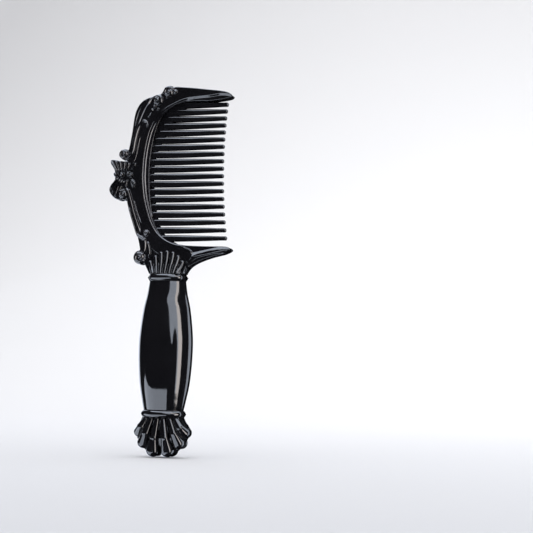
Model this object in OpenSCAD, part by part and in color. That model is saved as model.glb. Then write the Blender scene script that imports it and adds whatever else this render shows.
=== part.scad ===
// Decorative hair comb: a toothed plate between two relief covers, on a hollow barrel handle.
// Frame: Z runs from the foot up to the scrolls, the teeth point along +X, the front faces -Y.

/* [Plate and teeth] */
// Thickness of the plate that carries the teeth
plate_t = 4; // [3.6:0.2:4.4]
// Thickness of the web between the roots of the teeth
web_t = 2.4; // [2:0.2:3]
// Number of teeth between the two guards
tooth_count = 19; // [16:1:19]
// Distance between the first two teeth at the top
tooth_pitch = 4.2; // [4.1:0.05:4.3]
// How much each pitch is wider than the one above it
pitch_growth = 0.039; // [0.03:0.001:0.04]
// Height of the first tooth above the foot
first_tooth_z = 213; // [212.5:0.5:213.5]
// Radius of a tooth at its root
tooth_root_r = 1.9; // [1.6:0.05:1.95]
// Radius of a tooth between its middle and its tip
tooth_mid_r = 1.7; // [1.4:0.05:1.8]
// Radius of a tooth at its tip
tooth_tip_r = 1.2; // [0.9:0.05:1.3]
// Distance of the shortest tooth's tip from the axis
tip_x = 33; // [31:0.5:34]

/* [Covers] */
// Thickness of a cover's ground
cover_t = 1.5; // [1.2:0.1:2]
// Height of the ridges above the ground
ridge_h = 1.2; // [0.8:0.1:1.6]
// Width of a ridge
ridge_w = 1.7; // [1.2:0.1:2]

/* [Handle] */
// Half the barrel's width at its middle
barrel_half_w = 16.4; // [16.2:0.1:16.8]
// Distance of a shell's own axis behind the mid-plane
shell_axis = 5; // [4:0.5:6]
// Wall thickness of the handle shells
shell_wall = 2.2; // [1.6:0.2:3]
// Radius of the bead that forms a ring
ring_bead_r = 2.3; // [2:0.1:2.5]

/* [Dowels] */
// Diameter of the dowels that hold the covers
dowel_d = 2.4; // [2:0.2:3]
// Diameter of the dowels that hold the handle
handle_dowel_d = 4; // [3:0.5:5]

/* [Hidden] */
$fn = 48;

gloss_black = [0.05, 0.05, 0.06];
half_t = plate_t / 2;
ground_y = half_t + cover_t;
ridge_y = ground_y + ridge_h;
reach = 60;

// Heights along the handle
foot_top_z = 23.8;
lower_ring_z = 25.8;
barrel_base_z = 28;
barrel_top_z = 105;
upper_ring_z = 107.3;
neck_z = 109.6;

// Half widths where the parts of the handle meet
foot_top_half_w = 12.4;
lower_ring_half_w = 11.9;
upper_ring_half_w = 10.2;
neck_half_w = 11.2;

// Outline of a head cover, from the neck up the spine, round both guards and back
cover_points = [[-neck_half_w, neck_z], [-13.4, 114], [-16.6, 119.5], [-17.6, 125], [-19, 131],
    [-21.6, 138], [-24.5, 146], [-26.8, 153], [-27.4, 162], [-27, 171], [-27.2, 178],
    [-28.6, 181.6], [-26.8, 186], [-25, 196], [-23.6, 207], [-21.5, 213], [-18, 216.6],
    [-13, 218.6], [-8, 219.8], [-5, 222.6], [0, 224], [10, 223.4], [21, 222.1], [31, 220.8],
    [35.4, 219.6], [37.4, 217.8], [35, 216.2], [24, 214.9], [13, 215], [3.4, 213.3], [-3.6, 209],
    [-7.8, 203.4], [-10.4, 196], [-12.2, 187], [-13.1, 178], [-13.2, 170], [-12.8, 162],
    [-12, 154.6], [-10.6, 146.6], [-8.7, 140], [-6, 135], [-2.2, 131], [3, 128.4],
    [10, 127], [22, 126.4], [36, 126.1], [39, 124.3], [35.8, 122], [28.4, 120.1],
    [22.8, 118.3], [17.5, 116], [13.6, 113.2], [neck_half_w, neck_z]];

// Line where the gaps between the teeth start, from the top guard down
gullet_points = [[20, 217], [8, 211.2], [1.6, 205], [-2.4, 198], [-6.2, 191.6], [-9.4, 185],
    [-11, 178], [-11.4, 170], [-10.9, 162], [-9.8, 154], [-8.4, 146], [-5.8, 138],
    [-1.4, 132], [6, 127.6]];

// Ridges of a cover: the rim beside the teeth, then the strands of the spine
rim_path = [[35, 219], [23, 218], [11, 217], [3, 214.3], [-4.8, 209.6], [-10, 203],
    [-13, 196], [-15, 187], [-16, 178], [-16.3, 170], [-15.9, 162], [-14.8, 154],
    [-13, 147], [-10.4, 140.4], [-6.8, 134.6], [-2, 130.4], [5, 127.4], [13, 125]];
outer_strand = [[-10, 218.2], [-16, 216.4], [-20.4, 212], [-22.4, 206], [-23.8, 197],
    [-24.8, 189], [-26, 184]];
middle_strand = [[-13, 214.6], [-16, 211], [-18.4, 206], [-21, 200], [-22.6, 193]];
inner_strand = [[-15.6, 202], [-18, 201.4], [-20, 197], [-21.4, 190], [-22.4, 184], [-25, 180]];
lower_strand = [[-27, 158], [-25.8, 152.6], [-23, 145.6], [-20.2, 138], [-17.6, 133.6],
    [-16.4, 129], [-15.6, 124], [-16.6, 119.6]];
second_lower_strand = [[-24.6, 157.4], [-22.4, 149], [-19, 140.6], [-16, 135.6]];
strands = [rim_path, outer_strand, middle_strand, inner_strand, lower_strand,
    second_lower_strand];

// Scrolls as [x, z, radius], on the spine and at the ends of its strands
scrolls = [[-2.2, 221, 4], [-9, 215.9, 3.6], [-29.5, 183, 3.3], [-29.3, 158.7, 3.5],
    [-17.2, 119.6, 4.3]];
scroll_coil = 0.72;
scroll_coil_w = 0.28;
scroll_eye = 0.34;
curls = [[-15.4, 202.4, 1.6], [-13.8, 134.4, 2.1]];

// Bow: where its knot sits, and the tips of its pleats as [x, z, radius]
knot = [-30.2, 170.4];
upper_pleats = [[-37.2, 177.4, 1.8], [-34.3, 177.9, 1.8], [-31.2, 176.8, 1.8], [-28, 176.2, 1.9]];
lower_pleats = [[-28, 164.2, 2], [-31.5, 163.3, 2], [-34.3, 158.1, 2.1], [-37, 160.9, 2]];
bow_pleats = concat(upper_pleats, lower_pleats);
bow_beads = [[-34.5, 170.4, 1.7], [-30.3, 170.4, 2], [-25.2, 172.3, 1.8], [-25.2, 168.5, 1.8]];

// Foot lobes on the +X side as [x, z, radius, turn], from the top down
foot_lobes = [[13.9, 14.8, 3.4, 20], [10.9, 8.6, 3.6, 0], [4.5, 4.3, 4.3, -20]];
foot_inset = 0.6;
foot_groove_ends = [[-12, 10.3], [-6.8, 5.6], [0, -0.5], [6.8, 5.6], [12, 10.3]];
foot_groove_taper = 0.55;

// Side view of the foot on the front side as [depth, z]
foot_profile = [[half_t, foot_top_z], [8.8, foot_top_z], [9.2, 20], [9.4, 14], [9, 8], [8, 4],
    [5, 1.2], [half_t, 0]];

// Grooves of the neck fan on the +X side as [x at the ring, x at the top, z at the top]
fan_grooves = [[1.5, 2.1, 121.6], [4.3, 6, 119.6], [7, 9.2, 116.2]];
fan_half_w = 10.9;
fan_top_z = 123.6;
fan_arch_z = 113;
fan_arch_h = 10;

// Side view of the neck fan on the front side as [depth, z]
fan_profile = [[half_t, neck_z], [8.4, neck_z], [7, 112], [5.4, 116], [4.4, fan_top_z],
    [half_t, fan_top_z]];

// Barrel: half widths by height
barrel_profile = [[10.9, barrel_top_z], [12.1, 97.4], [13.9, 90], [15.3, 81],
    [barrel_half_w - 0.1, 71], [barrel_half_w, 62], [15.9, 52], [14.9, 42.5], [13.1, 33.5],
    [11.9, barrel_base_z]];

head_dowel_places = [[-18, 190], [-20.6, 166], [-17.5, 147], [-14, 124.4], [12, 219.6], knot];
head_dowel_depth = 1.1;
head_dowel_len = plate_t + 2 * head_dowel_depth;
handle_dowel_places = [92, 42];
handle_dowel_len = 14;
boss_wall = 1.5;
boss_d = handle_dowel_d + 2 * boss_wall;
groove_w = 0.8;
ridge_overlap = 0.4;
bead_h = 0.6;
bow_inset = 0.5;
disc_inset = 0.4;

// A tooth starts this far behind the gap beside it, and tapers faster past its middle
tooth_embed = 3;
tooth_mid = 0.6;
// The line of the tips bends away from the middle tooth
tip_curve = 0.0015;
tip_middle_z = 178;

// Geometry helpers

function curve_point(a, b, c, d, t) = 0.5 * (2 * b + (c - a) * t
    + (2 * a - 5 * b + 4 * c - d) * t * t + (3 * b - a - 3 * c + d) * t * t * t);

function curve(points, steps = 3) = let (last = len(points) - 1) concat(
    [for (i = [0 : last - 1], s = [0 : steps - 1])
        curve_point(points[max(i - 1, 0)], points[i], points[i + 1], points[min(i + 2, last)],
            s / steps)],
    [points[last]]);

function side_step(path, i) = let (
    ahead = path[min(i + 1, len(path) - 1)] - path[max(i - 1, 0)],
    unit = ahead / norm(ahead)) [-unit[1], unit[0]];

function band(path, width) = let (last = len(path) - 1) concat(
    [for (i = [0 : last]) path[i] + side_step(path, i) * width / 2 * end_taper(i / last)],
    [for (i = [last : -1 : 0]) path[i] - side_step(path, i) * width / 2 * end_taper(i / last)]);

// A closed outline from the points of its +X half, listed from the top down
function both_sides(half) = concat(half,
    [for (i = [len(half) - 1 : -1 : 0]) [-half[i][0], half[i][1]]]);

function places(items) = [for (p = items) [p[0], p[1]]];

function end_taper(t) = min(1, 0.35 + 5 * min(t, 1 - t));

// Curved upper edge of the neck fan, from the -X side to the +X side
function fan_edge() = [for (a = [180 : -15 : 0])
    [fan_half_w * cos(a), fan_arch_z + fan_arch_h * sin(a)]];

function tooth_z(i) = first_tooth_z - tooth_pitch * i - pitch_growth * i * (i - 1) / 2;

function shell_r(half_w) = sqrt(half_w ^ 2 + (shell_axis + half_t) ^ 2);

// Extrudes an outline drawn in X and Z from depth near_y to depth far_y on the front side
module slab(near_y, far_y) {
    translate([0, -near_y, 0])
        rotate([90, 0, 0])
            linear_extrude(far_y - near_y)
                children();
}

module through_plate() {
    translate([0, half_t, 0])
        rotate([90, 0, 0])
            linear_extrude(plate_t)
                children();
}

module disc_at(place, near_y, far_y, r) {
    translate([place[0], -near_y, place[1]])
        rotate([90, 0, 0])
            cylinder(h = far_y - near_y, r = r);
}

module front_only(depth) {
    intersection() {
        children();
        translate([-reach, -reach - depth, -reach])
            cube([2 * reach, reach, 5 * reach]);
    }
}

module to_back() {
    mirror([0, 1, 0])
        children();
}

// A side view drawn in Y and Z, carried across the whole width on the front side
module side_view(profile) {
    translate([-reach, 0, 0])
        rotate([90, 0, 90])
            linear_extrude(2 * reach)
                polygon([for (p = profile) [-p[0], p[1]]]);
}

// Outline of the bow, made smaller all round by inset
module bow_shape(inset) {
    polygon(concat([knot - [4.4, 0]], places(upper_pleats), [[-24.2, 172], [-24.2, 168.8]],
        places(lower_pleats)));
    for (p = bow_pleats)
        translate([p[0], p[1]])
            circle(r = p[2] - inset);
    for (b = bow_beads)
        translate([b[0], b[1]])
            circle(r = b[2] - inset);
}

// Outline of the neck fan: straight sides at the ring and an arched top
module fan_shape() {
    polygon(concat([[-fan_half_w, neck_z - 1]], fan_edge(), [[fan_half_w, neck_z - 1]]));
}

// Outline of the scalloped foot, made smaller all round by inset
module foot_shape(inset) {
    polygon(both_sides(concat([[foot_top_half_w - inset, foot_top_z]],
        [for (f = foot_lobes, a = [30 : -20 : -90])
            [f[0], f[1]] + (f[2] - inset) * [cos(a + f[3]), sin(a + f[3])]])));
}

// A ring of bead section round an upright axis behind the mid-plane
module half_ring(z, half_w) {
    front_only(half_t + 1)
        translate([0, shell_axis, z])
            rotate_extrude()
                translate([shell_r(half_w), 0])
                    circle(r = ring_bead_r);
}

// Sub-parts

module tooth(i) {
    z = tooth_z(i);
    tip = tip_x + tip_curve * (z - tip_middle_z) ^ 2;
    root = lookup(z, [for (p = [len(gullet_points) - 1 : -1 : 0])
        [gullet_points[p][1], gullet_points[p][0]]]) - tooth_embed;
    shoulder = tip - tooth_tip_r - root;
    translate([root, 0, z])
        rotate([0, 90, 0])
            rotate_extrude()
                polygon(concat([[0, 0], [tooth_root_r, 0], [tooth_mid_r, tooth_mid * shoulder]],
                    [for (a = [0 : 30 : 90])
                        [tooth_tip_r * cos(a), shoulder + tooth_tip_r * sin(a)]]));
}

module web() {
    translate([0, web_t / 2, 0])
        rotate([90, 0, 0])
            linear_extrude(web_t)
                polygon(concat(curve(gullet_points), [[-16, 129], [-20, 170], [-14, 212]]));
}

module handle_tang() {
    through_plate() {
        polygon(both_sides(concat([[neck_half_w, neck_z]], curve(barrel_profile),
            [[foot_top_half_w, foot_top_z]])));
        foot_shape(foot_inset);
    }
}

module comb_plate() {
    color(gloss_black)
        difference() {
            union() {
                through_plate() {
                    polygon(curve(cover_points));
                    bow_shape(bow_inset);
                }
                for (s = scrolls)
                    disc_at([s[0], s[1]], -half_t, half_t, s[2] - disc_inset);
                web();
                handle_tang();
                for (i = [0 : tooth_count - 1])
                    tooth(i);
            }
            for (p = head_dowel_places)
                disc_at(p, -plate_t, plate_t, dowel_d / 2);
            for (z = handle_dowel_places)
                disc_at([0, z], -plate_t, plate_t, handle_dowel_d / 2);
        }
}

module scroll(place, r) {
    disc_at(place, half_t, ground_y, r);
    translate([place[0], -ground_y, place[1]])
        rotate([90, 0, 0])
            rotate_extrude()
                translate([r * scroll_coil, 0])
                    circle(r = r * scroll_coil_w);
    translate([place[0], -ground_y, place[1]])
        sphere(r = r * scroll_eye);
}

module front_head_cover() {
    color(gloss_black)
        difference() {
            union() {
                slab(half_t, ground_y)
                    polygon(curve(cover_points));
                for (path = strands)
                    slab(ground_y - ridge_overlap, ridge_y)
                        polygon(band(curve(path), ridge_w));
                for (s = scrolls)
                    scroll([s[0], s[1]], s[2]);
                for (c = curls)
                    scroll([c[0], c[1]], c[2]);
            }
            slab(0, reach)
                fan_shape();
            slab(0, reach)
                bow_shape(0);
            for (p = head_dowel_places)
                disc_at(p, 0, head_dowel_len / 2, dowel_d / 2);
        }
}

module front_neck_fan() {
    color(gloss_black)
        difference() {
            intersection() {
                slab(half_t, reach)
                    fan_shape();
                side_view(fan_profile);
            }
            for (side = [-1, 1], g = fan_grooves)
                groove([side * g[0], neck_z - 1], [side * g[1], g[2]]);
        }
}

// A narrow groove cut from point a to point b of a fluted face, leaving a ground below it
module groove(a, b) {
    slab(ground_y, reach)
        polygon(band([a, (a + b) / 2, b], groove_w));
}

module front_bow() {
    color(gloss_black)
        difference() {
            union() {
                slab(half_t, ground_y)
                    bow_shape(0);
                for (p = bow_pleats)
                    slab(ground_y - ridge_overlap, ridge_y)
                        polygon(band([knot, ([p[0], p[1]] + knot) / 2, [p[0], p[1]]], p[2]));
                for (b = bow_beads)
                    disc_at([b[0], b[1]], ground_y - ridge_overlap, ridge_y + bead_h, b[2]);
            }
            disc_at(knot, 0, head_dowel_len / 2, dowel_d / 2);
        }
}

module front_upper_ring() {
    color(gloss_black)
        half_ring(upper_ring_z, upper_ring_half_w);
}

module front_lower_ring() {
    color(gloss_black)
        half_ring(lower_ring_z, lower_ring_half_w);
}

// Solid of revolution of the barrel, made smaller all round by inset
module barrel(inset) {
    translate([0, shell_axis, 0])
        rotate_extrude()
            polygon(concat([[0, barrel_top_z - inset]],
                [for (p = curve(barrel_profile, 2))
                    [shell_r(p[0]) - inset,
                        min(max(p[1], barrel_base_z + inset), barrel_top_z - inset)]],
                [[0, barrel_base_z + inset]]));
}

module front_handle_shell() {
    color(gloss_black)
        difference() {
            front_only(half_t)
                union() {
                    difference() {
                        barrel(0);
                        barrel(shell_wall);
                    }
                    intersection() {
                        barrel(shell_wall / 2);
                        for (z = handle_dowel_places)
                            disc_at([0, z], 0, reach, boss_d / 2);
                    }
                }
            for (z = handle_dowel_places)
                disc_at([0, z], 0, handle_dowel_len / 2, handle_dowel_d / 2);
        }
}

module front_foot_shell() {
    color(gloss_black)
        difference() {
            intersection() {
                slab(half_t, reach)
                    foot_shape(0);
                side_view(foot_profile);
            }
            for (end = foot_groove_ends)
                groove([end[0] * foot_groove_taper, foot_top_z - 2], end);
        }
}

module head_dowels() {
    color(gloss_black)
        for (p = head_dowel_places)
            disc_at(p, -head_dowel_len / 2, head_dowel_len / 2, dowel_d / 2);
}

module handle_dowels() {
    color(gloss_black)
        for (z = handle_dowel_places)
            disc_at([0, z], -handle_dowel_len / 2, handle_dowel_len / 2, handle_dowel_d / 2);
}

comb_plate();
front_head_cover();
to_back() front_head_cover();  // back_head_cover
front_bow();
to_back() front_bow();  // back_bow
front_neck_fan();
to_back() front_neck_fan();  // back_neck_fan
front_upper_ring();
to_back() front_upper_ring();  // back_upper_ring
front_handle_shell();
to_back() front_handle_shell();  // back_handle_shell
front_lower_ring();
to_back() front_lower_ring();  // back_lower_ring
front_foot_shell();
to_back() front_foot_shell();  // back_foot_shell
head_dowels();
handle_dowels();
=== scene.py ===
# Looks of the decorative hair comb: glossy black moulded plastic, relief on both faces
import math

import bpy
import numpy as np
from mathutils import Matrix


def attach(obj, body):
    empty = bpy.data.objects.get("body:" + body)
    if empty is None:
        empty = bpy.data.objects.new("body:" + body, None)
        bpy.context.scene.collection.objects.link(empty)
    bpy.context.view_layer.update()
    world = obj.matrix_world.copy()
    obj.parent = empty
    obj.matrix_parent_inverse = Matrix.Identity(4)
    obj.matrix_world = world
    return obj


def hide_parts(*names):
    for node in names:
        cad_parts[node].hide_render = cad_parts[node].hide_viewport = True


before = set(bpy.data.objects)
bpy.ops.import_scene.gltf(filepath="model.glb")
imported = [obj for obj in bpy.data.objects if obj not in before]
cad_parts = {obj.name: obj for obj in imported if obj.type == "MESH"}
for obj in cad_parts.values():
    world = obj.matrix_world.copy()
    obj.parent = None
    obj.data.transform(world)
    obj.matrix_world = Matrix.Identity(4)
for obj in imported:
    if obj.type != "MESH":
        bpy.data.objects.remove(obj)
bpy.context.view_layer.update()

import openvdb
from mathutils import Vector
from mathutils.geometry import tessellate_polygon

MM = 0.001
BODY = "root"

# ---------------------------------------------------------------- sizes, in millimetres

HALF_PLATE = 2.0
NECK_Z = 109.6
FOOT_TOP = 23.8
# Edges of the plate that turn by more than this many degrees stay sharp
PLATE_CREASE = 35

# Relief: height of its field and of the rim's crest above the mid-plane, and the slope of flanks
GROUND = 3.5
RIM_CREST = GROUND + 1
FLANK = 0.88
# Width of the cove up to the rim's crest, and how far beyond the crest each chamfer starts
COVE_W = 3.6
CHAMFER_STARTS = (-0.15, 1.35, 3.1)
# How far the upper edge of a relief is rounded
EDGE_ROUNDING = 0.5
# Step of the grid that a solid is meshed on, where it doesn't give its own
CELL = 0.25
# Y of the back of that grid, just behind the face of the plate
GRID_BACK = -1.4

# Shells: how far behind the mid-plane their axis lies, how far from it the plate's face is,
# and their wall
SHELL_AXIS = 5.0
SHELL_TO_FACE = SHELL_AXIS + HALF_PLATE
SHELL_WALL = 2.2
SHELL_ARC_POINTS = 72
# Rings: the bead's radius, and how far before the plate's face the middle of each end lies
RING_BEAD = 2.3
RING_END = 2.4
UPPER_RING_Z = 107.3
UPPER_RING_HALF_W = 10.2
LOWER_RING_Z = 25.8
LOWER_RING_HALF_W = 11.9

# Teeth, from the highest down. The pitch grows from gap to gap, and the tips lie on a curve
TOOTH_COUNT = 19
FIRST_TOOTH_Z = 213.0
TOOTH_PITCH = 4.2
PITCH_GROWTH = 0.039
TIP_X = 33.0
TIP_CURVE = 0.0015
TIP_CENTRE_Z = 178.0
TIP_HALF_H = 1.15
TIP_DEPTH = 1.1
# How far a tooth runs into the spine
TOOTH_BURIED = 4
# Half height of a tooth by distance from the axis
TOOTH_TAPER = [(-14, 1.95), (0, 1.93), (6.5, 1.86), (13, 1.74), (20, 1.6), (26, 1.45), (31, 1.25)]
# Section of a tooth from its top down to its underside: height, then depth where it is round
# and where it is faceted, as parts of its half height and half depth
TOOTH_SECTION = [
    (1.0, 0.3, 0.35), (0.9, 0.6, 0.56), (0.7, 0.84, 0.74), (0.46, 0.96, 0.88), (0.2, 1.0, 1.0),
    (-0.3, 0.99, 0.99), (-0.72, 0.93, 0.93), (-0.93, 0.88, 0.88), (-1.0, 0.74, 0.74)]
# Half depth of the web between the roots of the teeth
WEB_HALF_DEPTH = 1.1

# Outline of a head cover, from the neck up the spine, round both guards and back
COVER_OUTLINE = [
    (-11.2, 109.6), (-13.4, 114), (-16.6, 119.5), (-17.6, 125), (-19, 131), (-21.6, 138),
    (-24.5, 146), (-26.8, 153), (-27.4, 162), (-27, 171), (-27.2, 178), (-28.6, 181.6),
    (-27, 186), (-25.3, 196), (-23.9, 207), (-21.6, 213), (-18, 216.6), (-13, 218.6),
    (-8, 219.8), (-5, 222.6), (0, 224), (10, 223.4), (21, 222.1), (31, 220.8),
    (35.4, 219.6), (37.4, 217.8), (35, 216.2), (24, 214.9), (13, 215), (3.4, 213.3),
    (-3.6, 209), (-7.8, 203.4), (-10.4, 196), (-12.2, 187), (-13.1, 178), (-13.2, 170),
    (-12.8, 162), (-12, 154.6), (-10.6, 146.6), (-8.7, 140), (-6, 135), (-2.2, 131),
    (3, 128.4), (10, 127), (22, 126.4), (36, 126.1), (39, 124.3), (35.8, 122),
    (28.4, 120.1), (22.8, 118.3), (17.5, 116), (13.6, 113.2), (11.2, 109.6)]

# Where the gaps between the teeth start
GULLETS = [
    (20, 217), (8, 211.2), (1.6, 205), (-2.4, 198), (-6.2, 191.6), (-9.4, 185),
    (-11, 178), (-11.4, 170), (-10.9, 162), (-9.8, 154), (-8.4, 146), (-5.8, 138),
    (-1.4, 132), (6, 127.6)]

# Crest of the raised rim beside the teeth, out along the upper guard
RIM = [
    (37, 218.6), (31, 219.3), (22.9, 218.3), (10.9, 217.2), (2.8, 214.5), (-5.1, 210.1),
    (-10.6, 203.9), (-13.7, 197.6), (-15.8, 189), (-17, 179.7), (-17.3, 170.1), (-16.9, 163.8),
    (-15.8, 156), (-13.8, 148.3), (-11.1, 141.1), (-7.3, 134.9), (-2.2, 130.3), (4.3, 127.4),
    (13, 125.8)]
# Crest of the lower guard, and the line where its face meets the field
LOWER_CREST = [
    (12.4, 114.5), (13.2, 116.9), (14.8, 118.9), (18.5, 121.2), (26.9, 123.4), (34, 124.2),
    (38.4, 124.3)]
LOWER_CORNER = [(9, 128), (11, 125.8), (14, 124.6), (15.6, 122.6), (14.9, 119.6), (13.2, 116.9)]
# Lower guard: greatest height, and the line z = GUARD_Z + GUARD_RISE * x above which it slopes
GUARD_H = 4.9
GUARD_Z = 116.4
GUARD_RISE = 0.209
GUARD_SLOPE = 0.5

# Strands of the relief: points, half width, crest height
STRANDS = [
    ([(-12.6, 218), (-14.9, 215.4), (-17.6, 210.6), (-20.2, 204.4), (-22.2, 198.4),
      (-23.2, 193)], 1.3, 5.0),
    ([(-17, 216.4), (-20.4, 212), (-22.6, 206), (-23.9, 198), (-25, 190), (-26.6, 184)], 0.8, 4.0),
    ([(-15.5, 200.4), (-15.6, 202.2), (-17, 203.3), (-18.9, 202.5), (-21.3, 198.7),
      (-23, 191.5), (-24, 185.3), (-26.2, 181.4), (-28.6, 180)], 0.9, 4.9),
    ([(-17.6, 199), (-19.6, 195), (-21, 188.6), (-22.2, 182), (-23.8, 177.6)], 0.5, 4.0),
    ([(-12, 210.8), (-13.6, 208.4), (-15, 205.4)], 0.9, 4.9),
    ([(-31.6, 160), (-30.6, 161.2), (-28.3, 161.9), (-26.3, 160.3), (-25, 157.2), (-23.7, 153),
      (-22.6, 149), (-20.4, 142.6), (-18.2, 136.6), (-17.2, 133.6)], 0.9, 4.9),
    ([(-22.4, 154), (-20.2, 147), (-17.6, 141), (-15.4, 137)], 0.45, 3.9),
    ([(-25.4, 150), (-22.2, 141.4), (-19.6, 134), (-16.6, 131.6), (-14.5, 130.2), (-13.9, 127),
      (-14.4, 123.4), (-15.4, 120.6)], 0.85, 5.2),
    ([(-12.6, 129.4), (-11.6, 126), (-11, 122.5), (-11.8, 119.8)], 0.6, 4.9),
]

# Scrolls: centre, radius, angle where the spiral starts, its sense; and the spiral's turns
SCROLLS = [
    ((-2.2, 220.9), 4.0, 20, 1), ((-9.2, 215.9), 3.7, 100, -1), ((-29.5, 182.9), 3.4, -80, -1),
    ((-29.2, 158.2), 3.3, 80, 1), ((-17.2, 119.6), 4.3, -20, -1)]
SPIRAL_TURNS = 1.25
# Small beads and curls: centre, radius, top height
CURLS = [
    ((-15.4, 200.6), 1.1, 5.2), ((-13.6, 134.2), 2.3, 5.3), ((-14.3, 134.6), 1.1, 6.0),
    ((-12.4, 134.4), 1.0, 5.9), ((-10.9, 212.2), 1.2, 5.6), ((-8.9, 210.4), 0.9, 5.2),
    ((-3.3, 218), 1.1, 5.5), ((1.9, 220.9), 1.6, 5.3)]
# Plump leaf under the scroll below the bow
LEAF = [(-31, 157), (-30.4, 154.4), (-27.4, 150.6)]

# Bow: outline from the upper tip round to the right, then pleats from the knot outwards with
# half the room for each, the part of it that a pleat fills, and the knot's beads
BOW_OUTLINE = [
    (-38.6, 179.4), (-36.6, 179.8), (-33, 179.1), (-29, 178.6), (-25, 178.4), (-22.2, 178.6),
    (-20.8, 176.6), (-22, 173), (-22.6, 170.4), (-22, 167.8), (-20.6, 164.6), (-22, 161.8),
    (-26, 160.4), (-28.6, 157), (-31, 154.8), (-34.2, 155.4), (-36.8, 157.3), (-38.5, 159.9),
    (-38.7, 162.2), (-37.6, 164.6), (-35.5, 167.2), (-35.6, 172.4), (-36.7, 174.8),
    (-38.4, 177.2)]
PLEATS = [
    ([(-33.8, 172.6), (-36, 176), (-38, 178.4)], 0.8),
    ([(-32.4, 172.6), (-33.8, 175.6), (-35, 178.8)], 0.75),
    ([(-31, 172.8), (-31.6, 175.8), (-32, 178.4)], 0.75),
    ([(-29.6, 172.8), (-29.2, 175.4), (-29, 178)], 0.75),
    ([(-28, 172.6), (-26.8, 174.8), (-26.2, 177.6)], 0.75),
    ([(-24.8, 173.6), (-23, 175), (-21.9, 177.2)], 0.7),
    ([(-33, 168.4), (-35.4, 165.4), (-37.8, 161.6)], 0.75),
    ([(-31.6, 167.6), (-34.2, 163.6), (-36.6, 159.2)], 0.75),
    ([(-30.2, 166.8), (-32.8, 162.6), (-34.6, 157)], 0.75),
    ([(-28.6, 166.4), (-30.6, 163.4), (-32, 160)], 0.7),
    ([(-27, 167), (-27.6, 164.6), (-27.8, 163)], 0.7),
    ([(-25, 167.4), (-23.2, 166), (-21.8, 164)], 0.65),
    ([(-24.8, 165.6), (-23.6, 163.6), (-22.6, 162.6)], 0.6)]
PLEAT_FILL = 0.75
BOW_BEADS = [((-34.5, 170.4), 1.55), ((-30.5, 170.3), 1.75), ((-26.4, 170.9), 1.5),
             ((-24.6, 169.9), 1.45)]

# Neck fan: its middle rib's upper end, and the ribs on one side as X at the neck and X and Z
# at the upper end
FAN_TOP_Z = 122.4
FAN_RIBS = [(2.7, 3.7, 121.7), (5.3, 7.1, 119.4), (7.6, 10.1, 116.2)]

# Petals of the foot on one side: X and Z of the start and of the end, then the end's Y and radius
FOOT_PETALS = [
    ((1.9, 22.8), (4.5, 4.5), -4.3, 4.1), ((5.8, 22.8), (10.9, 8.8), -3.4, 3.6),
    ((9.4, 22.6), (13.9, 15.0), -2.2, 3.4)]

# Barrel of the handle from the top down: Z and half width
BARREL = [
    (105, 10.9), (97.4, 12.1), (90, 13.9), (81, 15.3), (71, 16.29), (62, 16.39), (52, 15.9),
    (42.5, 14.9), (33.5, 13.1), (28, 11.9)]

# ---------------------------------------------------------------- curves and fields


def curve(points, steps=8):
    """Smooth curve through the points."""
    p = np.array(points, float)
    p = np.vstack([p[0], p, p[-1]])
    out = []
    for a, b, c, d in zip(p[:-3], p[1:-2], p[2:-1], p[3:]):
        for t in np.arange(steps) / steps:
            out.append(0.5 * (2 * b + (c - a) * t + (2 * a - 5 * b + 4 * c - d) * t ** 2
                              + (3 * b - a - 3 * c + d) * t ** 3))
    return np.array(out + [p[-1]])


def window(x, z, a, b, reach):
    """The part of a grid within reach of the segment from a to b."""
    i = np.searchsorted(x[:, 0], [min(a[0], b[0]) - reach, max(a[0], b[0]) + reach])
    j = np.searchsorted(z[0], [min(a[1], b[1]) - reach, max(a[1], b[1]) + reach])
    return slice(*i), slice(*j)


def to_path(x, z, path, reach):
    """On a grid, within reach of a path: distance to it, how far along it (0 to 1), and side."""
    best = np.full(x.shape, float(reach) ** 2)
    along = np.zeros(x.shape)
    side = np.ones(x.shape)
    lengths = np.hypot(*np.diff(path, axis=0).T)
    ends = np.concatenate([[0], np.cumsum(lengths)])
    for a, b, start, length in zip(path[:-1], path[1:], ends, lengths):
        w = window(x, z, a, b, reach)
        ux, uz = (b - a) / length
        px, pz = x[w] - a[0], z[w] - a[1]
        t = np.clip(px * ux + pz * uz, 0, length)
        dx, dz = px - t * ux, pz - t * uz
        d = dx * dx + dz * dz
        near = d < best[w]
        best[w] = np.where(near, d, best[w])
        along[w] = np.where(near, (start + t) / ends[-1], along[w])
        side[w] = np.where(near, np.where(ux * dz - uz * dx >= 0, 1, -1), side[w])
    return np.sqrt(best), along, side


def outline_distance(x, z, path, reach):
    """Distance to a closed outline, negative inside, no more than reach."""
    d, _, _ = to_path(x, z, np.vstack([path, path[:1]]), reach)
    inside = np.zeros(x.shape, bool)
    for (ax, az), (bx, bz) in zip(path, np.roll(path, -1, axis=0)):
        if az != bz:
            rows = slice(*np.searchsorted(z[0], sorted((az, bz))))
            inside[:, rows] ^= x[:, rows] < (bx - ax) * (z[:, rows] - az) / (bz - az) + ax
    return np.where(inside, -d, d)


def smooth_max(a, b, k):
    """The greater of two, rounded where they are less than k apart."""
    h = np.maximum(k - np.abs(a - b), 0) / k
    return np.maximum(a, b) + h * h * k / 4


def smooth_min(a, b, k):
    return -smooth_max(-a, -b, k)


def lobe(p, a, b, ra, rb):
    """Distance to a tapered rod with round ends."""
    a, b = np.array(a, float), np.array(b, float)
    ab = b - a
    t = np.clip(((p - a) @ ab) / (ab @ ab), 0, 1)
    return np.linalg.norm(p - a - t[..., None] * ab, axis=-1) - (ra + t * (rb - ra))


def egg(p, centre, radii):
    """Rough distance to an ellipsoid."""
    q = (p - np.array(centre, float)) / np.array(radii, float)
    n = np.linalg.norm(q, axis=-1)
    return (n - 1) * min(radii)


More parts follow.
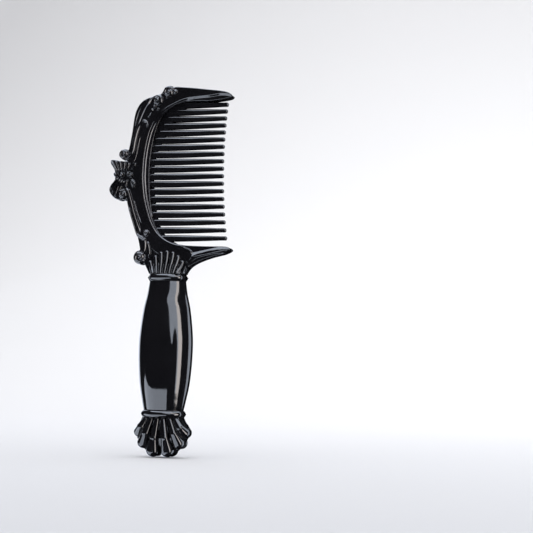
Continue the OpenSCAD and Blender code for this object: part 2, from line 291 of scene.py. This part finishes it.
# ---------------------------------------------------------------- meshes


def add_object(name, mesh):
    obj = bpy.data.objects.new(name, mesh)
    bpy.context.scene.collection.objects.link(obj)
    return obj


def mesh_object(name, points_mm, faces, crease=None):
    """Object from points in millimetres. Edges sharper than crease, in degrees, stay sharp."""
    mesh = bpy.data.meshes.new(name)
    mesh.from_pydata((np.asarray(points_mm) * MM).tolist(), [], faces)
    mesh.validate()
    mesh.shade_smooth()
    if crease:
        mesh.set_sharp_from_angle(angle=math.radians(crease))
    mesh.update()
    return add_object(name, mesh)


def solid_from_field(name, field, low, high, cell=CELL):
    """Closed mesh of where field is negative, its points moved onto the field's zero."""
    band = 3 * cell
    low, high = np.array(low, float), np.array(high, float)
    counts = np.ceil((high - low) / cell).astype(int) + 1
    axes = [low[i] + cell * np.arange(counts[i]) for i in range(3)]
    p = np.stack(np.meshgrid(*axes, indexing="ij"), axis=-1)
    values = np.clip(field(p), -band, band).astype(np.float32)
    for i in range(3):
        edge = np.take(values, [0, -1], axis=i)
        assert (edge > 0).all(), f"{name} reaches the edge of its grid"
    grid = openvdb.FloatGrid(background=band)
    grid.copyFromArray(values)
    grid.gridClass = openvdb.GridClass.LEVEL_SET
    points, _, quads = grid.convertToPolygons(isovalue=0.0, adaptivity=0.0)
    points = low + points.astype(float) * cell
    for _ in range(3):
        points = step_to_zero(points, field, cell)
    return mesh_object(name, points, quads[:, ::-1].tolist())


def step_to_zero(points, field, cell):
    """The points moved along the field's slope towards its zero, by less than a third of a cell."""
    h = 0.2 * cell
    f = field(points)
    slope = np.stack([(field(points + h * e) - field(points - h * e)) / (2 * h)
                      for e in np.eye(3)], axis=-1)
    size = np.maximum((slope ** 2).sum(-1), 0.05)
    move = -(f / size)[:, None] * slope
    reach = np.linalg.norm(move, axis=-1, keepdims=True)
    return points + move * np.minimum(1, 0.3 * cell / np.maximum(reach, 1e-9))


class HeightMap:
    """A height kept on a fine grid over X and Z and read between its points."""

    def __init__(self, fill, low, high, cell=0.125):
        self.low, self.cell = np.array(low, float), cell
        n = np.ceil((np.array(high) - low) / cell).astype(int) + 2
        x = self.low[0] + cell * np.arange(n[0])
        z = self.low[1] + cell * np.arange(n[1])
        self.values = fill(*np.meshgrid(x, z, indexing="ij"))

    def __call__(self, x, z):
        u = (x - self.low[0]) / self.cell
        v = (z - self.low[1]) / self.cell
        i = np.clip(u.astype(int), 0, self.values.shape[0] - 2)
        j = np.clip(v.astype(int), 0, self.values.shape[1] - 2)
        u, v = np.clip(u - i, 0, 1), np.clip(v - j, 0, 1)
        g = self.values
        return ((g[i, j] * (1 - u) + g[i + 1, j] * u) * (1 - v)
                + (g[i, j + 1] * (1 - u) + g[i + 1, j + 1] * u) * v)


# ---------------------------------------------------------------- head covers


def end_taper(t):
    """1 along a path, where t runs from 0 to 1, and falling to 0 close to both its ends."""
    end_part = 0.16
    return np.clip(np.minimum(t, 1 - t) / end_part, 0, 1) ** 0.5


def strand_height(x, z, path, half_w, crest, ground=GROUND):
    """A strand with a narrow roof and steep sides, lower and thinner at its ends."""
    d, t, _ = to_path(x, z, path, half_w + 1)
    taper = end_taper(t)
    w = half_w * (0.45 + 0.55 * taper)
    ridge, soft = ground + (crest - ground) * (0.3 + 0.7 * taper), 0.15
    roof = ridge - FLANK * (np.hypot(d, soft) - soft)
    return np.where(d < w, roof, roof - 5 * (d - w))


def spiral(centre, radius, start, sense):
    """A path that winds in from near the edge of a scroll."""
    turns = np.linspace(0, SPIRAL_TURNS, 40)
    r = radius * (0.76 - 0.42 * turns / SPIRAL_TURNS)
    a = np.radians(start) + sense * 2 * np.pi * turns
    return np.stack([centre[0] + r * np.cos(a), centre[1] + r * np.sin(a)], axis=-1)


def bump(x, z, centre, radius, base, top):
    """A low dome."""
    q = np.clip(1 - ((x - centre[0]) ** 2 + (z - centre[1]) ** 2) / radius ** 2, 0, 1)
    return base + (top - base) * np.sqrt(q)


def rim_profile(s, cove, chamfer):
    """Height across the rim, where s is how far a point lies beyond its crest.

    A cove rises to the crest, and chamfers go down from it to the teeth."""
    h = RIM_CREST - cove * (1 - np.clip(1 + s / COVE_W, 0, 1) ** 2.4)
    for start in CHAMFER_STARTS:
        h = h - FLANK * np.clip(s - start, 0, chamfer)
    return h


def spine_height(x, z):
    """The field and its rim, with one plain slope in place of the chamfers on the upper guard."""
    rim_d, _, rim_side = to_path(x, z, curve(RIM), 9)
    s = rim_d * rim_side
    # The cove is shallow at both ends of the spine, and the chamfers narrow towards the guards
    cove = np.interp(z, [134, 148, 186, 204], [0.25, 1.3, 1.3, 0.3])
    chamfer = np.interp(x, [-9, -3], [0.6, 0.3])
    spine = rim_profile(s, cove, chamfer)
    guard = np.where(s < 0, spine, RIM_CREST - 0.75 * np.clip(s, 0, 4))
    blend = np.clip((x - 6) / 8, 0, 1) * (z > 200)
    return spine * (1 - blend) + guard * blend


def lower_guard_height(x, z):
    """The lower guard's flat face, and the steeper one below its crest."""
    d, _, side = to_path(x, z, curve(LOWER_CREST), 12)
    face = np.clip(GUARD_H - GUARD_SLOPE * (z - GUARD_Z - GUARD_RISE * x), 2.5, GUARD_H)
    return np.where(side > 0, face, face - 0.7 * d)


def on_lower_guard(x, z):
    """1 on the lower guard and 0 off it, with a short blend where it meets the field."""
    d, _, side = to_path(x, z, curve(LOWER_CORNER), 40)
    return np.clip(0.5 + d * side / 0.8, 0, 1) * (z < 128)


def with_scroll(h, x, z, centre, radius, start, sense):
    """The height h with a scroll added: a disc, the coil on it and the eye in the middle."""
    h = smooth_max(h, bump(x, z, centre, radius, 2.4, 4.3), 0.2)
    coil = strand_height(x, z, spiral(centre, radius, start, sense), radius * 0.22, 5.4)
    h = smooth_max(h, coil, 0.12)
    eye = (centre[0] + 0.06 * radius, centre[1] + 0.02 * radius)
    return smooth_max(h, bump(x, z, eye, radius * 0.4, 3.4, 6.0), 0.1)


def cover_height(x, z):
    guard = on_lower_guard(x, z)
    h = spine_height(x, z) * (1 - guard) + lower_guard_height(x, z) * guard
    for points, half_w, crest in STRANDS:
        h = smooth_max(h, strand_height(x, z, curve(points), half_w, crest), 0.2)
    h = smooth_max(h, strand_height(x, z, curve(LEAF), 2.4, 4.9, 2.4), 0.15)
    for scroll in SCROLLS:
        h = with_scroll(h, x, z, *scroll)
    for centre, radius, top in CURLS:
        h = smooth_max(h, bump(x, z, centre, radius, 3.0, top), 0.12)
    return h


def cover_edge(x, z):
    d = outline_distance(x, z, curve(COVER_OUTLINE), 4)
    for centre, radius, _, _ in SCROLLS:
        d = smooth_min(d, np.hypot(x - centre[0], z - centre[1]) - radius, 0.8)
    return d


def relief(name, height_of, edge_of, low, high, cell):
    """A solid on the front of the plate, from its outline and its height over X and Z."""
    height = HeightMap(height_of, low, high)
    edge = HeightMap(edge_of, low, high)

    def field(p):
        x, y, z = p[..., 0], p[..., 1], p[..., 2]
        f = smooth_max((-y - height(x, z)) * 0.75, edge(x, z), EDGE_ROUNDING)
        f = np.maximum(f, NECK_Z - z)
        return np.maximum(f, y + HALF_PLATE)

    margin, grid_front = 0.6, -6.4
    return solid_from_field(name, field, (low[0] + margin, grid_front, low[1] + margin),
                            (high[0] - margin, GRID_BACK, high[1] - margin), cell)


def head_cover():
    return relief("front_head_cover", cover_height, cover_edge, (-36, 108), (41, 226.6), 0.22)


# ---------------------------------------------------------------- bow


def bow_height(x, z):
    d = outline_distance(x, z, curve(BOW_OUTLINE), 4)
    h = 3.2 + 0.5 * np.clip(-d / 2, 0, 1)
    for points, half_w in PLEATS:
        h = smooth_max(h, strand_height(x, z, curve(points), PLEAT_FILL * half_w, 4.7), 0.1)
    for centre, radius in BOW_BEADS:
        h = smooth_max(h, bump(x, z, centre, radius, 3.0, 5.9), 0.08)
    return h


def bow_edge(x, z):
    d = outline_distance(x, z, curve(BOW_OUTLINE), 4)
    for centre, radius in BOW_BEADS:
        d = smooth_min(d, np.hypot(x - centre[0], z - centre[1]) - radius - 0.2, 0.3)
    return d


def front_bow():
    return relief("front_bow", bow_height, bow_edge, (-40.5, 153), (-19, 182), 0.2)


# ---------------------------------------------------------------- neck fan and foot


def fan_depth(z):
    return np.interp(z, [NECK_Z, 112, 116, 120, 124], [7.2, 6.4, 5.1, 4.2, 3.6])


def front_neck_fan():
    """Round ribs that spread upwards over a thin base."""
    ribs = [(0, 0, FAN_TOP_Z)]
    for x0, x1, z1 in FAN_RIBS:
        ribs += [(-x0, -x1, z1), (x0, x1, z1)]

    def field(p):
        x, y, z = p[..., 0], p[..., 1], p[..., 2]
        half_w = np.interp(z, [108, 110, 116, 124], [10, 10.1, 11.2, 11])
        f = np.maximum(np.abs(x) - half_w, -y - np.interp(z, [109, 113, 117], [6.6, 4.6, 3.2]))
        f = np.maximum(f, np.hypot(x / 1.15, z - 112) - 8.4)
        for x0, x1, z1 in ribs:
            z_mid = (NECK_Z + z1) / 2
            mid = ((x0 + x1) / 2, -fan_depth(z_mid) + 0.6, z_mid)
            f = smooth_min(f, lobe(p, (x0, -7.3, NECK_Z), mid, 1.0, 1.25), 0.2)
            f = smooth_min(f, lobe(p, mid, (x1, -fan_depth(z1) + 0.6, z1), 1.25, 1.5), 0.2)
        f = np.maximum(f, NECK_Z - 0.4 - z)
        return np.maximum(f, y + HALF_PLATE)

    return solid_from_field("front_neck_fan", field, (-14, -10.5, 108.6), (14, GRID_BACK, 125))


def front_foot():
    """An egg-shaped core under petals that spread downwards."""
    def field(p):
        y, z = p[..., 1], p[..., 2]
        f = egg(p, (0, 0, 14), (13, 5.6, 10.6))
        f = smooth_min(f, lobe(p, (-7, -1.5, 22.4), (7, -1.5, 22.4), 4, 4), 1)
        for side in (-1, 1):
            for (x0, z0), (x1, z1), end_y, end_r in FOOT_PETALS:
                start = (side * x0, -6.4 + x0 * 0.14, z0)
                mid = (side * (x0 * 0.4 + x1 * 0.6), -7.0 + x0 * 0.16, z0 * 0.4 + z1 * 0.6)
                f = smooth_min(f, lobe(p, start, mid, 1.6, 2.3), 0.2)
                f = smooth_min(f, lobe(p, mid, (side * x1, end_y, z1), 2.3, end_r), 0.2)
        f = np.maximum(f, z - FOOT_TOP)
        return np.maximum(f, y + HALF_PLATE)

    return solid_from_field("front_foot_shell", field, (-18.6, -10.4, -0.8),
                            (18.6, GRID_BACK, 24.6))


# ---------------------------------------------------------------- handle


def shell_radius(half_w):
    return math.hypot(half_w, SHELL_TO_FACE)


def side_faces(rows, ring):
    """Faces between rows of points, where every row is a closed ring."""
    faces = []
    for i in range(rows - 1):
        for j in range(ring):
            k = (j + 1) % ring
            faces.append((i * ring + j, i * ring + k, (i + 1) * ring + k, (i + 1) * ring + j))
    return faces


def front_handle_shell():
    """Half a hollow barrel. Each row of points is the outer arc and then the inner one back."""
    profile = curve(BARREL, 9)
    points = []
    for z, half_w in profile:
        outer = shell_radius(half_w)
        for radius, order in ((outer, 1), (outer - SHELL_WALL, -1)):
            edge = math.acos(SHELL_TO_FACE / radius)
            for t in np.linspace(-edge, edge, SHELL_ARC_POINTS)[::order]:
                points.append((radius * math.sin(t), SHELL_AXIS - radius * math.cos(t), z))
    ring = 2 * SHELL_ARC_POINTS
    faces = side_faces(len(profile), ring)
    for base, flip in ((0, 1), (len(points) - ring, -1)):
        for j in range(SHELL_ARC_POINTS - 1):
            quad = (base + j, base + ring - 1 - j, base + ring - 2 - j, base + j + 1)
            faces.append(quad[::flip])
    return mesh_object("front_handle_shell", points, faces, crease=40)


def half_ring(name, ring_z, half_w):
    """A bead swept round the front of the handle, with round ends."""
    radius = shell_radius(half_w)
    stop = math.acos((SHELL_TO_FACE + RING_END) / radius)
    sides, steps = 24, 72
    # Angles round the handle, with the bead's size at each as a part of its full size
    cap = RING_BEAD / radius
    ends = [(math.sin(a) * cap, math.cos(a)) for a in np.radians(np.arange(10, 90, 10))]
    arcs = [(-stop - t, size) for t, size in ends[::-1]]
    arcs += [(t, 1.0) for t in np.linspace(-stop, stop, steps)]
    arcs += [(stop + t, size) for t, size in ends]
    points = []
    for t, size in arcs:
        for k in range(sides):
            a = 2 * math.pi * k / sides
            r = radius + RING_BEAD * size * math.cos(a)
            z = ring_z + RING_BEAD * size * math.sin(a)
            points.append((r * math.sin(t), SHELL_AXIS - r * math.cos(t), z))
    faces = [(a, d, c, b) for a, b, c, d in side_faces(len(arcs), sides)]
    faces.append(tuple(range(sides)))
    faces.append(tuple(range(len(points) - sides, len(points)))[::-1])
    return mesh_object(name, points, faces, crease=60)


# ---------------------------------------------------------------- plate and teeth


def tooth_z(i):
    return FIRST_TOOTH_Z - TOOTH_PITCH * i - PITCH_GROWTH * i * (i - 1) / 2


def tooth_stations(i):
    """Z of one tooth, and stations along it: x, half height, half depth, and how faceted it is."""
    z = tooth_z(i)
    gullet = np.array(GULLETS)[::-1]
    root = np.interp(z, gullet[:, 1], gullet[:, 0])
    tip = TIP_X + TIP_CURVE * (z - TIP_CENTRE_Z) ** 2
    out = []
    for t in np.linspace(0, 1, 16):
        x = root - TOOTH_BURIED + (tip - TIP_HALF_H - root + TOOTH_BURIED) * t
        half_h = np.interp(x, *zip(*TOOTH_TAPER))
        facet = math.sin(math.pi * np.clip((x - root) / (0.8 * (tip - root)), 0, 1)) ** 1.5
        out.append((x, half_h, half_h + (TIP_DEPTH - half_h) * t ** 3, facet))
    half_h = out[-1][1]
    for a in np.radians([15, 30, 45, 60, 75, 86]):
        out.append((tip - TIP_HALF_H * (1 - math.sin(a)), half_h * math.cos(a),
                    TIP_DEPTH * math.cos(a), 0))
    return z, out


def tooth(i):
    z, stations = tooth_stations(i)
    points = []
    for x, half_h, depth, facet in stations:
        side = [(z + u * half_h, depth * (v + facet * (w - v))) for u, v, w in TOOTH_SECTION]
        points += [(x, -y, h) for h, y in side] + [(x, y, h) for h, y in side[::-1]]
    ring = 2 * len(TOOTH_SECTION)
    faces = side_faces(len(stations), ring)
    faces.append(tuple(range(ring))[::-1])
    faces.append(tuple(range(len(points) - ring, len(points))))
    return mesh_object(f"tooth_{i}", points, faces)


def prism(name, outline, half_depth):
    """An outline in X and Z extruded to both sides of the mid-plane."""
    n = len(outline)
    points = [(x, y, z) for y in (-half_depth, half_depth) for x, z in outline]
    faces = [tuple(range(n)), tuple(range(n, 2 * n))[::-1]]
    faces += [(i, i + n, (i + 1) % n + n, (i + 1) % n) for i in range(n)]
    return mesh_object(name, points, faces)


def join_solids(base, others):
    """One closed solid from overlapping ones."""
    for other in others:
        boolean = base.modifiers.new("join", "BOOLEAN")
        boolean.operation = "UNION"
        boolean.solver = "MANIFOLD"
        boolean.object = other
    graph = bpy.context.evaluated_depsgraph_get()
    mesh = bpy.data.meshes.new_from_object(base.evaluated_get(graph))
    base.modifiers.clear()
    base.data = mesh
    mesh.shade_smooth()
    mesh.set_sharp_from_angle(angle=math.radians(PLATE_CREASE))
    for other in others:
        bpy.data.objects.remove(other)
    return base


def inset(path, amount):
    """A clockwise outline moved inwards."""
    ahead = np.roll(path, -1, axis=0) - np.roll(path, 1, axis=0)
    unit = ahead / np.linalg.norm(ahead, axis=1, keepdims=True)
    return path + amount * np.stack([unit[:, 1], -unit[:, 0]], axis=-1)


def web():
    """Thin plate between the roots of the teeth."""
    inside_spine = [(-16, 129), (-20, 170), (-14, 212)]
    return prism("web", np.vstack([curve(GULLETS, 4), inside_spine]), WEB_HALF_DEPTH)


def tang():
    """The plate's lower part, whose edge shows between the halves of the rings and the barrel."""
    side = [(11.0, NECK_Z + 0.6), (11.0, 109), (12.2, UPPER_RING_Z), (11.0, 105.4)]
    side += [(half_w, z) for z, half_w in curve(BARREL, 6)]
    side = np.array(side + [(13.6, LOWER_RING_Z), (12.4, FOOT_TOP)])
    return prism("tang", np.vstack([side, side[::-1] * (-1, 1)]), HALF_PLATE)


def scroll_core(centre, radius):
    """Disc a little smaller than the scroll in front of it."""
    r = radius - 0.25
    disc = [(centre[0] + r * math.cos(a), centre[1] + r * math.sin(a))
            for a in np.linspace(0, 2 * math.pi, 40, endpoint=False)[::-1]]
    return prism("scroll_core", disc, HALF_PLATE)


def foot_core():
    side = [(12.4, FOOT_TOP), (16.8, 15), (13.8, 8), (8.4, 3), (4.5, 0.6), (0, 2)]
    return prism("foot_core", side + [(-x, z) for x, z in side[-2::-1]], HALF_PLATE)


def comb_plate():
    """Core of the spine and guards, joined with everything else in the plate."""
    plate = prism("comb_plate", inset(curve(COVER_OUTLINE, 4), 0.15), HALF_PLATE)
    parts = [web(), tang()]
    parts += [scroll_core(centre, radius) for centre, radius, _, _ in SCROLLS]
    parts.append(prism("bow_core", inset(curve(BOW_OUTLINE, 3), 0.3), HALF_PLATE))
    parts.append(foot_core())
    parts += [tooth(i) for i in range(TOOTH_COUNT)]
    return join_solids(plate, parts)


# ---------------------------------------------------------------- materials


def gloss_black():
    """Polished black plastic with faint orange peel and patches of handling haze."""
    material = bpy.data.materials.new("gloss_black")
    material.use_nodes = True
    nodes, links = material.node_tree.nodes, material.node_tree.links
    shader = nodes["Principled BSDF"]
    shader.inputs["IOR"].default_value = 1.5
    coords = nodes.new("ShaderNodeTexCoord")

    def noise(scale, detail):
        node = nodes.new("ShaderNodeTexNoise")
        node.inputs["Scale"].default_value = scale
        node.inputs["Detail"].default_value = detail
        links.new(coords.outputs["Object"], node.inputs["Vector"])
        return node

    haze = noise(60, 4)
    colour = nodes.new("ShaderNodeValToRGB")
    colour.color_ramp.elements[0].color = (0.004, 0.004, 0.005, 1)
    colour.color_ramp.elements[1].color = (0.009, 0.009, 0.011, 1)
    links.new(haze.outputs["Fac"], colour.inputs["Fac"])
    links.new(colour.outputs["Color"], shader.inputs["Base Color"])
    rough = nodes.new("ShaderNodeMapRange")
    rough.inputs["From Min"].default_value = 0.3
    rough.inputs["From Max"].default_value = 0.8
    rough.inputs["To Min"].default_value = 0.045
    rough.inputs["To Max"].default_value = 0.12
    links.new(haze.outputs["Fac"], rough.inputs["Value"])
    links.new(rough.outputs["Result"], shader.inputs["Roughness"])
    peel = noise(420, 2)
    bump_node = nodes.new("ShaderNodeBump")
    bump_node.inputs["Strength"].default_value = 0.02
    bump_node.inputs["Distance"].default_value = 0.0004
    links.new(peel.outputs["Fac"], bump_node.inputs["Height"])
    links.new(bump_node.outputs["Normal"], shader.inputs["Normal"])
    return material


def plain(name, colour, roughness, glow=0.0):
    material = bpy.data.materials.new(name)
    material.use_nodes = True
    shader = material.node_tree.nodes["Principled BSDF"]
    shader.inputs["Base Color"].default_value = (*colour, 1)
    shader.inputs["Roughness"].default_value = roughness
    shader.inputs["Emission Color"].default_value = (*colour, 1)
    shader.inputs["Emission Strength"].default_value = glow
    return material


def paper_with_painted_light():
    """Paper with a painted pool of light: its colour is brightest behind the comb and greyer far
    from it.
    """
    material = plain("paper_with_painted_light", (0.9, 0.9, 0.91), 0.9)
    nodes, links = material.node_tree.nodes, material.node_tree.links
    coords = nodes.new("ShaderNodeTexCoord")
    from_light_pool = nodes.new("ShaderNodeVectorMath")
    from_light_pool.operation = "DISTANCE"
    from_light_pool.inputs[1].default_value = (0.25, 1.1, 0.2)
    # Painted light: the paper's colour is set by distance from a point behind the comb, bright
    # there and grey farther off, in place of the lamps' own falloff
    colour = nodes.new("ShaderNodeValToRGB")
    ramp = colour.color_ramp
    ramp.elements[0].position, ramp.elements[0].color = 0.1, (0.9, 0.9, 0.91, 1)
    ramp.elements.new(0.3).color = (0.54, 0.54, 0.55, 1)
    ramp.elements[-1].position, ramp.elements[-1].color = 0.7, (0.8, 0.8, 0.81, 1)
    scale = nodes.new("ShaderNodeMapRange")
    scale.inputs["From Max"].default_value = 5.0
    links.new(coords.outputs["Object"], from_light_pool.inputs[0])
    links.new(from_light_pool.outputs["Value"], scale.inputs["Value"])
    links.new(scale.outputs["Result"], colour.inputs["Fac"])
    links.new(colour.outputs["Color"], nodes["Principled BSDF"].inputs["Base Color"])
    return material


# ---------------------------------------------------------------- set, lights and camera

# The photograph's view, fitted to it: in metres, degrees, and millimetres for the lens
CAMERA_AT = (0.2332, -0.7178, 0.045)
CAMERA_TARGET = (0.0609, 0, 0.1146)
CAMERA_ROLL = 1.54
SENSOR_MM = 36
LENS_MM = 84.4278

# Backdrop, in metres: how far it runs, and where its floor bends up and how widely
BACKDROP_REACH = 6.0
BEND_Y = 0.6
BEND_RADIUS = 1.2

# Softboxes lie on a sphere round the comb, in metres
AIM_Z = 0.11
SOFTBOX_DISTANCE = 1.5
COOL = (0.80, 0.87, 1.0)
WARM = (1.0, 0.93, 0.9)
# Softboxes: name, brightness, colour, and outline as azimuths and elevations
SOFTBOXES = [
    ("overhead", 6.5, COOL, [(-130, 50), (130, 50), (130, 88), (-130, 88)]),
    ("tall_right", 4.6, COOL, [
        (0, 50), (2, 31), (12, 22), (19, 15), (25, 8), (29, 2), (33, 2), (34, 7), (37, 10.5),
        (41, 12), (46, 11.5), (50, 8), (52, 2), (53, -5), (53, -23), (57, -23), (56, 5),
        (53, 15), (46, 24), (42, 31), (42, 50)]),
    ("tall_right_edge", 9.0, WARM, [
        (57, -23), (70, -23), (72, 0), (72, 7), (67, 15), (59, 24), (53, 31), (51, 36),
        (51, 50), (42, 50), (42, 31), (46, 24), (53, 15), (56, 5)]),
    ("low_left", 3.8, COOL, [
        (18, -21.5), (-8, -21), (-30, -20), (-50, -18), (-68, -14), (-83, -8), (-90, -9),
        (-98, -18), (-98, -62), (-30, -62), (-24, -40), (18, -40)]),
    ("right_back", 3.6, COOL, [(103, 50), (130, 50), (130, -40), (103, -40)]),
    ("back", 3.0, COOL, [(139, -20), (150, -20), (150, 50), (139, 50)]),
    ("left_back", 1.0, COOL, [(-160, 50), (-125, 50), (-125, -40), (-160, -40)]),
]


def stage_mesh(name, corners, faces, material):
    mesh = bpy.data.meshes.new(name)
    mesh.from_pydata(corners, [], faces)
    mesh.materials.append(material)
    obj = add_object(name, mesh)
    return obj


def only_in_gloss(obj):
    """Seen in the object's reflections and nowhere else."""
    obj.visible_camera = False
    obj.visible_diffuse = False
    obj.visible_shadow = False
    obj.visible_transmission = False


def softbox(name, glow, colour, outline):
    """A glowing patch of the sphere round the object, seen only in its gloss.

    The outline is a list of azimuths (0 in front, 90 to the right) and elevations."""
    corners = np.array(outline, float)
    dense = [a + (b - a) * t for a, b in zip(corners, np.roll(corners, -1, axis=0))
             for t in np.linspace(0, 1, 2 + int(np.abs(b - a).max() / 8))[:-1]]
    faces = tessellate_polygon([[Vector((a, e, 0)) for a, e in dense]])
    points = []
    for azimuth, elevation in np.radians(dense):
        flat = SOFTBOX_DISTANCE * math.cos(elevation)
        points.append((flat * math.sin(azimuth), -flat * math.cos(azimuth),
                       AIM_Z + SOFTBOX_DISTANCE * math.sin(elevation)))
    only_in_gloss(stage_mesh(name, points, faces, plain(name, colour, 1.0, glow)))


def backdrop():
    """A floor that sweeps up into a wall, so no horizon shows."""
    profile = [(-BACKDROP_REACH, 0.0), (-1.0, 0.0), (BEND_Y, 0.0)]
    profile += [(BEND_Y + BEND_RADIUS * math.sin(a), BEND_RADIUS - BEND_RADIUS * math.cos(a))
                for a in np.radians(np.arange(6, 91, 6))]
    profile.append((BEND_Y + BEND_RADIUS, BACKDROP_REACH))
    points = [(x, y, z) for y, z in profile for x in (-BACKDROP_REACH, BACKDROP_REACH)]
    faces = [(2 * i, 2 * i + 1, 2 * i + 3, 2 * i + 2) for i in range(len(profile) - 1)]
    floor = stage_mesh("backdrop", points, faces, paper_with_painted_light())
    floor.data.shade_smooth()
    floor.visible_glossy = False


def studio():
    scene = bpy.context.scene
    scene.view_settings.view_transform = "Standard"
    world = bpy.data.worlds.new("studio")
    scene.world = world
    world.use_nodes = True
    background = world.node_tree.nodes["Background"]
    background.inputs["Color"].default_value = (0.95, 0.95, 0.96, 1)
    background.inputs["Strength"].default_value = 1.32
    world.cycles_visibility.glossy = False
    backdrop()
    for name, glow, colour, outline in SOFTBOXES:
        softbox(name, glow, colour, outline)


def camera():
    """From the right of the front, low, looking a little up."""
    data = bpy.data.cameras.new("camera")
    data.sensor_width = SENSOR_MM
    data.lens = LENS_MM
    data.clip_start = 0.01
    cam = bpy.data.objects.new("camera", data)
    bpy.context.scene.collection.objects.link(cam)
    cam.location = CAMERA_AT
    look = (Vector(CAMERA_TARGET) - cam.location).to_track_quat("-Z", "Y")
    cam.rotation_euler = look.to_euler()
    cam.rotation_euler.rotate_axis("Z", math.radians(CAMERA_ROLL))
    bpy.context.scene.camera = cam


# ---------------------------------------------------------------- assembly


def mirrored(obj, name):
    """The same piece on the back."""
    mesh = obj.data.copy()
    for v in mesh.vertices:
        v.co.y = -v.co.y
    mesh.flip_normals()
    mesh.name = name
    return add_object(name, mesh)


def place(piece, node, material):
    """Name a piece for the CAD node that it stands for, with its finish and its body."""
    piece.name = f"{node}_shape"
    piece.data.materials.clear()
    piece.data.materials.append(material)
    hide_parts(node)
    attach(piece, BODY)


def build():
    black = gloss_black()
    fronts = {
        "head_cover": head_cover(),
        "bow": front_bow(),
        "neck_fan": front_neck_fan(),
        "foot_shell": front_foot(),
        "handle_shell": front_handle_shell(),
        "upper_ring": half_ring("upper_ring", UPPER_RING_Z, UPPER_RING_HALF_W),
        "lower_ring": half_ring("lower_ring", LOWER_RING_Z, LOWER_RING_HALF_W),
    }
    for name, piece in fronts.items():
        place(mirrored(piece, name), f"back_{name}", black)
        place(piece, f"front_{name}", black)
    place(comb_plate(), "comb_plate", black)
    for node in ("head_dowels", "handle_dowels"):
        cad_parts[node].material_slots[0].material = black


camera()
studio()
build()
